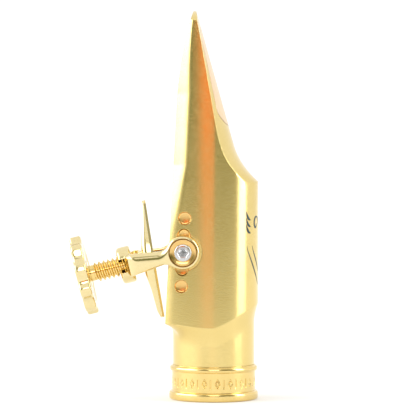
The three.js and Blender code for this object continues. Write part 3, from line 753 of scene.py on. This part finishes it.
# The spine's thickness along the leaf, from its lower point to its upper one.
PLATE_SPINE = ((-PLATE_HALF, 0.7), (-12.5, 1.4), (-6.7, 2.0), (-3.2, 2.75), (3.0, 2.75),
               (PLATE_HALF, 0.5))
FLANK = 0.4
EAR_R, EAR_FROM, EAR_TO, EAR_HOLE, EAR_FOOT = 1.15, 3.4, 4.5, 0.55, 1.5
PIN_R, PIN_FROM, PIN_TO = 0.5, 2.8, 4.55


def plate_half(v):
    """Half the leaf's width, rounded off at the tips."""
    wide = PLATE_WIDTH - (PLATE_WIDTH - PLATE_TIP) * (abs(v) / PLATE_HALF) ** 1.3
    past = max(0, abs(v) - (PLATE_HALF - PLATE_ROUND)) / PLATE_ROUND
    return wide * math.sqrt(max(0.02, 1 - past**2))


def plate_thickness(v):
    """The spine's thickness, with its corners eased."""
    at, thick = zip(*PLATE_SPINE, strict=True)
    return float(np.mean([np.interp(v + shift, at, thick) for shift in np.linspace(-0.8, 0.8, 9)]))


def plate_leaf():
    """The leaf itself, with upright flanks and a soft back."""
    short, gap, step = 0.02, 0.04, 0.02
    front = PLATE_FACE - PAD - gap
    rings = []
    for v in np.linspace(-PLATE_HALF + short, PLATE_HALF - short, 140):
        half = plate_half(v)
        thick = max(0.3, plate_thickness(v) - PAD)
        outline = [(front, half), (front, -half)]
        for angle in np.linspace(math.pi, 0, 41):
            across, rise = math.cos(angle), max(0, math.sin(angle))
            y = half * math.copysign(abs(across) ** FLANK, across)
            outline.append((front - step - (thick - step) * rise**FLANK, y))
        rings.append([(x, y, v) for x, y in outline[::-1]])
    return loft("plate_visual", rings)


def pressure_plate():
    """The leaf with ears for the pins and a slot for the swivel block."""
    ears, cutters = [], []
    for side in (1, -1):
        upright = turn("X", -90 * side)
        profile = fillet([(0, EAR_FROM), (EAR_R, EAR_FROM, 0.15), (EAR_R, EAR_TO, 0.15), (0, EAR_TO)])
        ears.append(moved(turned("ear", profile), upright))
        low, high = sorted((EAR_FROM * side, EAR_TO * side))
        foot = [(0, -EAR_R), (EAR_FOOT, -EAR_R), (EAR_FOOT, EAR_R), (0, EAR_R)]
        ears.append(moved(prism("ear_foot", foot, -high, -low), STAND_ACROSS))
        hole = [(0, 3.0), (EAR_HOLE, 3.0), (EAR_HOLE, 5), (0, 5)]
        cutters.append(moved(turned("ear_hole", hole, 32), upright))
    slot = [(-4, -2.9), (0.95, -2.9), (0.95, 2.9), (-4, 2.9)]
    cutters.append(moved(prism("plate_slot", slot, -EAR_FROM, EAR_FROM), STAND_ACROSS))
    return moved(carve(plate_leaf(), cutters, joins=ears), PLATE_FRAME)


def reed_pad():
    """A thin leaf with bevelled edges on the reed's side."""
    low, high = PLATE_FACE - PAD, PLATE_FACE
    rings = []
    for v in np.linspace(-PLATE_HALF, PLATE_HALF, 120):
        half = plate_half(v)
        narrow = half - min(PAD_BEVEL, 0.5 * half)
        rings.append([(low, -half, v), (high, -narrow, v), (high, narrow, v), (low, half, v)])
    return moved(loft("pad_visual", rings), PLATE_FRAME)


def plate_pin(name, side):
    profile = fillet([(0, PIN_FROM), (PIN_R, PIN_FROM, 0.1), (PIN_R, PIN_TO, 0.15), (0, PIN_TO)])
    return moved(turned(name, profile, 48), turn("X", -90 * side), PLATE_FRAME)


# ---------------------------------------------------------------- dark scroll on the barrel's back
INLAY_PROUD, INLAY_DEEP = 0.03, -0.1
CURL_MIDDLE, CURL_ACROSS, LEAF_ACROSS, LEAF_FROM, TAIL_TOP = 40.5, 3.6, 6.2, 38.5, 35.6


def on_barrel(across, height, lift):
    """A point above the barrel, at an arc length from the crown line."""
    angle = across / BACK_X
    return (BACK_X + lift) * math.cos(angle), (width_at(height) + lift) * math.sin(angle), height


def scroll_stroke(points, widths):
    """A tapering ribbon that lies on the barrel. Points are arc length from the crown and height."""
    verts, faces = [], []
    for i, ((across, height), half) in enumerate(zip(points, widths, strict=True)):
        ahead, behind = points[min(i + 1, len(points) - 1)], points[max(i - 1, 0)]
        run = (Vector(ahead) - Vector(behind)).normalized()
        for sign in (-1, 1):
            at, rise = across - sign * run.y * half, height + sign * run.x * half
            verts += [on_barrel(at, rise, lift) for lift in (INLAY_PROUD, INLAY_DEEP)]
        if i:
            a, b = 4 * (i - 1), 4 * i
            faces += [(a, a + 2, b + 2, b), (a + 3, a + 1, b + 1, b + 3)]
            faces += [(a + 1, a, b, b + 1), (a + 2, a + 3, b + 3, b + 2)]
    last = 4 * (len(points) - 1)
    faces += [(0, 1, 3, 2), (last, last + 2, last + 3, last + 1)]
    return verts, faces


def taper(count, peak):
    return [0.04 + peak * math.sin(math.pi * i / (count - 1)) for i in range(count)]


def back_scroll():
    """A plain leafy scroll, mirrored about the crown line: a curl, three leaves and two tails a side."""
    strokes = []
    for side in (1, -1):
        turns = np.linspace(0, 2.1 * math.pi, 44)
        curl = [(side * (CURL_ACROSS - 2.2 * math.exp(-0.28 * t) * math.cos(t)),
                 CURL_MIDDLE + 2.6 * math.exp(-0.28 * t) * math.sin(t)) for t in turns]
        strokes.append((curl, taper(44, 0.26)))
        for lift in (0.0, 1.5, 3.0):
            leaf = [(side * (LEAF_ACROSS + 1.6 * t + 0.9 * t * (1 - t)), LEAF_FROM + lift + 2.0 * t * t)
                    for t in np.linspace(0, 1, 14)]
            strokes.append((leaf, taper(14, 0.3)))
        for start, drop in ((7.7, 9.0), (5.6, 6.0)):
            tail = [(side * start * (1 - 0.75 * t), TAIL_TOP - drop * t**0.8)
                    for t in np.linspace(0, 1, 24)]
            strokes.append((tail, taper(24, 0.16)))
    verts, faces = [], []
    for points, widths in strokes:
        base = len(verts)
        new_verts, new_faces = scroll_stroke(points, widths)
        verts += new_verts
        faces += [tuple(base + i for i in face) for face in new_faces]
    return make("scroll_inlay", verts, faces)


# ---------------------------------------------------------------- assembly
shade_pockets(finished(mouthpiece_body(), "mouthpiece", SATIN, "satin_gold", "mouthpiece_body"))
# The sleeve takes the darker gold: painted shade near the floor.
finished(shank_sleeve(), "mouthpiece", SHADED_GOLD, "bright_gold", "shank_sleeve")
finished(bite_skin(-0.1, 0.02), "mouthpiece", PEACH, "peach_gold", "bite_pad")
for side, end in ((-1, "left"), (1, "right")):
    finished(at_pivot(pivot_screw("screw_visual_" + end), side), "mouthpiece", STEEL, "steel",
             "pivot_screw_" + end)
    # The washers take the darker gold: painted shade and reflection in the sinks.
    finished(at_pivot(dished_washer("washer_visual_" + end), side), "mouthpiece", RECESS_SHADE_GOLD,
             "bright_gold", "head_washer_" + end)
    finished(at_pivot(ring("spacer_visual_" + end, 3.7, 1.7, 8.4, 9.4), side), "mouthpiece", BRIGHT,
             "bright_gold", "seat_spacer_" + end)
finished(yoke(), "yoke", BRIGHT, "bright_gold", "ligature_yoke")
finished(thumb_wheel(), "thumbscrew", BRIGHT, "bright_gold", "thumb_wheel")
# The spindle takes the darker gold: painted shade between the arms and the wheel.
finished(spindle(), "thumbscrew", SHADED_GOLD, "bright_gold", "thumbscrew_spindle")
finished(moved(ring("clip_visual", 1.7, 1.0, 8.8, 9.2), OUTWARD, SCREW_FRAME), "thumbscrew", STEEL,
         "steel", "retaining_ring")
finished(swivel_block(), "swivel", BRIGHT, "bright_gold", "swivel_block")
finished(pressure_plate(), "plate", BRIGHT, "bright_gold", "pressure_plate")
finished(reed_pad(), "plate", BRIGHT, "bright_gold", "reed_pad")
for side, end in ((-1, "left"), (1, "right")):
    finished(plate_pin("pin_visual_" + end, side), "plate", STEEL, "steel", "plate_pin_" + end)
finished(back_scroll(), "mouthpiece", enamel(), "satin_gold")


# ---------------------------------------------------------------- stage, light and camera
class Sky:
    """A white tent round the object, with a dim side towards the camera, as node arithmetic."""

    def __init__(self, tree):
        self.tree = tree
        place = tree.nodes.new("ShaderNodeTexCoord")
        split = tree.nodes.new("ShaderNodeSeparateXYZ")
        tree.links.new(place.outputs["Generated"], split.inputs[0])
        self.up = split.outputs["Z"]
        front = self.calc("MULTIPLY", split.outputs["Y"], -1)
        self.azimuth = self.calc("ARCTAN2", split.outputs["X"], front)

    def calc(self, operation, *values):
        node = self.tree.nodes.new("ShaderNodeMath")
        node.operation = operation
        for socket, value in zip(node.inputs, values, strict=False):
            if isinstance(value, (int, float)):
                socket.default_value = value
            else:
                self.tree.links.new(value, socket)
        return node.outputs[0]

    def step(self, value, low, high):
        remap = self.tree.nodes.new("ShaderNodeMapRange")
        remap.interpolation_type = "SMOOTHSTEP"
        remap.inputs["From Min"].default_value = low
        remap.inputs["From Max"].default_value = high
        self.tree.links.new(value, remap.inputs["Value"])
        return remap.outputs["Result"]

    def patch(self, azimuth, up, soft, side=None):
        """1 inside a window of azimuth (radians from the camera's side) and height, 0 outside."""
        side = side or soft
        left = self.step(self.azimuth, azimuth[0] - side, azimuth[0] + side)
        mirrored = self.calc("MULTIPLY", self.azimuth, -1)
        right = self.step(mirrored, -azimuth[1] - side, -azimuth[1] + side)
        low = self.step(self.up, up[0] - soft, up[0] + soft)
        high = self.step(self.calc("MULTIPLY", self.up, -1), -up[1] - soft, -up[1] + soft)
        across, upright = self.calc("MULTIPLY", left, right), self.calc("MULTIPLY", low, high)
        return self.calc("MULTIPLY", across, upright)

    def lay(self, under, colour, mask):
        mix = self.tree.nodes.new("ShaderNodeMix")
        mix.data_type = "RGBA"
        if isinstance(under, tuple):
            mix.inputs["A"].default_value = (*under, 1)
        else:
            self.tree.links.new(under, mix.inputs["A"])
        mix.inputs["B"].default_value = (*colour, 1)
        self.tree.links.new(mask, mix.inputs["Factor"])
        return mix.outputs["Result"]


# The stage is in metres. The floor ends between the part and the camera, so that most of the part
# mirrors the dim side and not the floor.
FLOOR_LEFT, FLOOR_RIGHT, FLOOR_FRONT, FLOOR_BACK = -3.0, 0.8, -0.4, 3.0
EYE, TARGET = Vector((-0.0013, -0.577, 0.059)), Vector((-0.0013, 0, 0.0441))
VIEW_WIDTH, SENSOR_WIDTH = 0.0962208, 36
TENT = (1.12, 1.12, 1.12)


def white(strength):
    return strength, strength, strength


def floor():
    corners = [(FLOOR_LEFT, FLOOR_FRONT, 0), (FLOOR_RIGHT, FLOOR_FRONT, 0), (FLOOR_RIGHT, FLOOR_BACK, 0),
               (FLOOR_LEFT, FLOOR_BACK, 0)]
    sheet = make("floor", corners, [(0, 1, 2, 3)])
    material, _, principled = shader("floor_white", white(0.74), 0.7, 0.0)
    principled.inputs["Emission Color"].default_value = (1, 1, 1, 1)
    principled.inputs["Emission Strength"].default_value = 0.12
    sheet.data.materials.append(material)


def studio():
    """The tent, its dim side behind the camera, two softboxes, a warm glow and a small lamp."""
    world = bpy.data.worlds.new("studio")
    bpy.context.scene.world = world
    world.use_nodes = True
    sky = Sky(world.node_tree)
    dim = sky.lay(TENT, (0.49, 0.48, 0.36), sky.patch((-0.6, 1.0), (-0.02, 0.84), 0.04, 0.14))
    dimmer = sky.lay(dim, (0.22, 0.24, 0.13), sky.patch((-0.6, 1.0), (0.05, 0.3), 0.04, 0.14))
    strip = sky.lay(dimmer, white(3.5), sky.patch((-1.2, -0.8), (0.04, 0.5), 0.03, 0.05))
    left = sky.lay(strip, white(4.5), sky.patch((-2.0, -1.05), (0.05, 0.75), 0.03, 0.08))
    right = sky.lay(left, white(5.0), sky.patch((1.1, 1.5), (-0.02, 0.75), 0.03))
    glow = sky.lay(right, (0.90, 0.58, 0.30), sky.patch((-0.15, 0.0), (0.01, 0.1), 0.03))
    warm = sky.lay(glow, (1.35, 0.28, 0.0), sky.patch((-0.15, 0.02), (0.045, 0.2), 0.035))
    lamp = sky.lay(warm, white(4.5), sky.patch((-0.22, 0.26), (0.22, 0.42), 0.02))
    overhead = sky.lay(lamp, white(1.1), sky.patch((-0.4, 0.4), (0.44, 0.9), 0.02))
    background = world.node_tree.nodes["Background"]
    world.node_tree.links.new(overhead, background.inputs["Color"])


def camera():
    data = bpy.data.cameras.new("camera")
    data.sensor_width = SENSOR_WIDTH
    data.lens = SENSOR_WIDTH * (EYE - TARGET).length / VIEW_WIDTH
    obj = bpy.data.objects.new("camera", data)
    obj.location = EYE
    obj.rotation_euler = (TARGET - EYE).to_track_quat("-Z", "Y").to_euler()
    bpy.context.scene.collection.objects.link(obj)
    bpy.context.scene.camera = obj


floor()
studio()
camera()
bpy.context.scene.view_settings.view_transform = "Standard"
